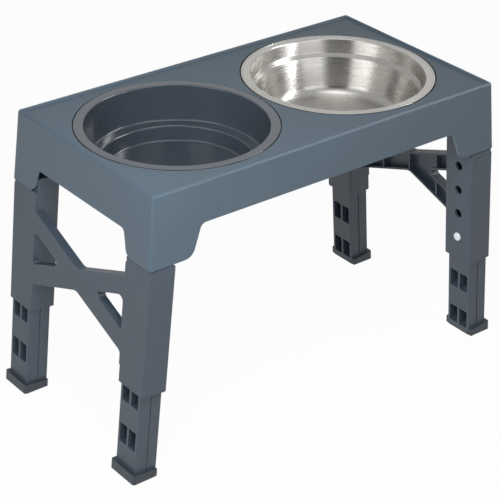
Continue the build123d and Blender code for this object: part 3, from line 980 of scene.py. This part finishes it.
@dataclass
class Studio:
    """The pale floor, the soft light and the camera at the photograph's angle.

    Attributes:
        floor_radius: Radius of the floor, in metres.
        floor_steps: Number of its edges.
        floor_colour: Colour of the matt board.
        floor_roughness: Roughness of the board.
        floor_glow: Share of plain white in what the camera and reflections see of it.
        white: Colour of that share.
        air_colour: Colour of the even light.
        air_strength: Its strength on matt surfaces.
        air_seen: Its strength in reflections.
        flag_azimuth: Direction of the black cloth from the stand, in degrees.
        flag_distance: Its distance, in metres.
        flag_width: Its width, in metres.
        flag_height: Its height, in metres.
        flag_colour: Its colour.
        focal_mm: Focal length.
        sensor_mm: Width of the sensor.
        camera_place: Place of the camera, in metres.
        azimuth: Direction of the camera from the stand, in degrees.
        elevation: Its tilt down, in degrees.
        roll: Its turn about its own axis, in degrees.
        far_end: Farthest distance that it sees, in metres.
        lamps: All lamps.
    """

    floor_radius: float = 30.0
    floor_steps: int = 96
    floor_colour: str = "#CFCFCF"
    floor_roughness: float = 0.9
    floor_glow: float = 0.97
    white: str = "#FFFFFF"
    air_colour: str = "#FFFFFF"
    air_strength: float = 0.045
    air_seen: float = 0.5
    flag_azimuth: float = -40.5
    flag_distance: float = 1.5
    flag_width: float = 1.0
    flag_height: float = 2.2
    flag_colour: str = "#101010"
    focal_mm: float = 127.505
    sensor_mm: float = 36.0
    camera_place: tuple[float, float, float] = (-1.03912, -1.27276, 1.05777)
    azimuth: float = -38.9971
    elevation: float = 29.4643
    roll: float = 1.3308
    far_end: float = 200.0
    lamps: tuple[Lamp, ...] = (
        Lamp("left_softbox", (-0.95, -0.55, 0.85), (-0.15, -0.08, 0.25), (0.5, 0.7), 8.5, Role.KEY),
        Lamp("front_softbox", (-0.55, -0.95, 0.85), (-0.15, -0.08, 0.25), (0.5, 0.7), 4.3, Role.KEY),
        Lamp("corner_softbox", (-0.32, -0.38, 0.85), (-0.2, -0.12, 0.31), (0.3, 0.3), 4.2, Role.KEY),
        Lamp("left_panel", (-1.1, -0.25, 0.6), (0.0, 0.0, 0.3), (0.7, 1.0), 3.4, Role.MIRRORED),
        Lamp("right_panel", (0.05, -1.15, 0.6), (0.0, 0.0, 0.3), (0.7, 1.0), 3.0, Role.MIRRORED),
        Lamp("top_panel", (0.1, 0.0, 1.6), (0.1, 0.0, 0.3), (0.6, 0.6), 2.0, Role.MIRRORED),
        Lamp("rear_panel", (0.88, 1.08, 1.09), (0.0, 0.0, 0.31), (1.6, 1.0), 1.2, Role.MIRRORED),
        Lamp("edge_strip", (0.71, -0.66, 0.73), (0.0, -0.12, 0.31), (1.6, 0.1), 8.0, Role.MIRRORED, 37.3),
    )

    def build(self) -> None:
        """Sets up the whole studio."""
        self._floor()
        self._air()
        self._flag()
        for lamp in self.lamps:
            lamp.build()
            log.info("hung %s", lamp.name)
        self._camera()

    def _floor(self) -> None:
        """Lays a round floor of matt board."""
        angles = [2 * math.pi * step / self.floor_steps for step in range(self.floor_steps)]
        radius = self.floor_radius
        points = [(radius * math.cos(angle), radius * math.sin(angle), 0.0) for angle in angles]
        mesh = bpy.data.meshes.new("floor")
        mesh.from_pydata(points, [], [tuple(range(self.floor_steps))])
        floor = bpy.data.objects.new("floor", mesh)
        bpy.context.scene.collection.objects.link(floor)
        material, tree, shader = start_material("floor_board")
        shader.inputs["Base Color"].default_value = to_linear(self.floor_colour)
        shader.inputs["Roughness"].default_value = self.floor_roughness
        shader.inputs["Specular IOR Level"].default_value = 0.0
        white = add_node(tree, "ShaderNodeEmission", inputs={"Color": to_linear(self.white), "Strength": 1.0})
        rays = add_node(tree, "ShaderNodeLightPath")
        direct = add_node(
            tree,
            "ShaderNodeMath",
            {"operation": "MAXIMUM"},
            {0: rays.outputs["Is Camera Ray"], 1: rays.outputs["Is Glossy Ray"]},
        )
        seen = add_node(
            tree,
            "ShaderNodeMath",
            {"operation": "MAXIMUM"},
            {0: direct.outputs[0], 1: rays.outputs["Is Transmission Ray"]},
        )
        share = add_node(
            tree, "ShaderNodeMath", {"operation": "MULTIPLY"}, {0: seen.outputs[0], 1: self.floor_glow}
        )
        blend = add_node(
            tree,
            "ShaderNodeMixShader",
            inputs={0: share.outputs[0], 1: shader.outputs[0], 2: white.outputs[0]},
        )
        tree.links.new(blend.outputs[0], tree.nodes["Material Output"].inputs["Surface"])
        mesh.materials.append(material)

    def _air(self) -> None:
        """Fills the studio with even light."""
        world = bpy.data.worlds.new("studio_air")
        world.use_nodes = True
        bpy.context.scene.world = world
        tree = world.node_tree
        background = tree.nodes["Background"]
        background.inputs["Color"].default_value = to_linear(self.air_colour)
        rays = add_node(tree, "ShaderNodeLightPath")
        strength = add_node(
            tree,
            "ShaderNodeMapRange",
            inputs={0: rays.outputs["Is Glossy Ray"], 3: self.air_strength, 4: self.air_seen},
        )
        tree.links.new(strength.outputs[0], background.inputs["Strength"])

    def _flag(self) -> None:
        """Stands a black cloth beside the camera, which only reflections show."""
        turn = math.radians(self.flag_azimuth)
        away = Vector((math.sin(turn), -math.cos(turn), 0.0)) * self.flag_distance
        across = Vector((math.cos(turn), math.sin(turn), 0.0)) * self.flag_width / 2
        top = Vector((0.0, 0.0, self.flag_height))
        corners = [away - across, away + across, away + across + top, away - across + top]
        mesh = bpy.data.meshes.new("flag")
        mesh.from_pydata(corners, [], [(0, 1, 2, 3)])
        flag = bpy.data.objects.new("flag", mesh)
        flag.visible_camera = False
        flag.visible_diffuse = False
        flag.visible_transmission = False
        flag.visible_shadow = False
        bpy.context.scene.collection.objects.link(flag)
        material, _, shader = start_material("flag_cloth")
        shader.inputs["Base Color"].default_value = to_linear(self.flag_colour)
        shader.inputs["Roughness"].default_value = 1.0
        shader.inputs["Specular IOR Level"].default_value = 0.0
        mesh.materials.append(material)

    def _camera(self) -> None:
        """Places the camera."""
        turn = math.radians(self.azimuth)
        rise = math.radians(self.elevation)
        tilt = math.radians(self.roll)
        back = Vector((math.sin(turn) * math.cos(rise), -math.cos(turn) * math.cos(rise), math.sin(rise)))
        level = Vector((math.cos(turn), math.sin(turn), 0.0))
        upright = back.cross(level)
        right = level * math.cos(tilt) + upright * math.sin(tilt)
        up = back.cross(right)
        pose = Matrix((right, up, back)).transposed().to_4x4()
        pose.translation = Vector(self.camera_place)
        data = bpy.data.cameras.new("camera")
        data.lens = self.focal_mm
        data.sensor_width = self.sensor_mm
        data.sensor_fit = "HORIZONTAL"
        data.clip_end = self.far_end
        data.dof.use_dof = False
        camera = bpy.data.objects.new("camera", data)
        camera.matrix_world = pose
        bpy.context.scene.collection.objects.link(camera)
        bpy.context.scene.camera = camera
        bpy.context.scene.view_settings.view_transform = "Standard"
        log.info("placed the camera")


def main() -> None:
    """Builds and dresses the feeder, then sets up the studio."""
    logging.basicConfig(level=logging.INFO, format="%(message)s")
    Studio().build()
    Deck().dress()
    for bowl in (PlasticBowl(), SteelBowl()):
        bowl.dress(bowl.build())
    Legs().dress()


if __name__ == "__main__":
    main()
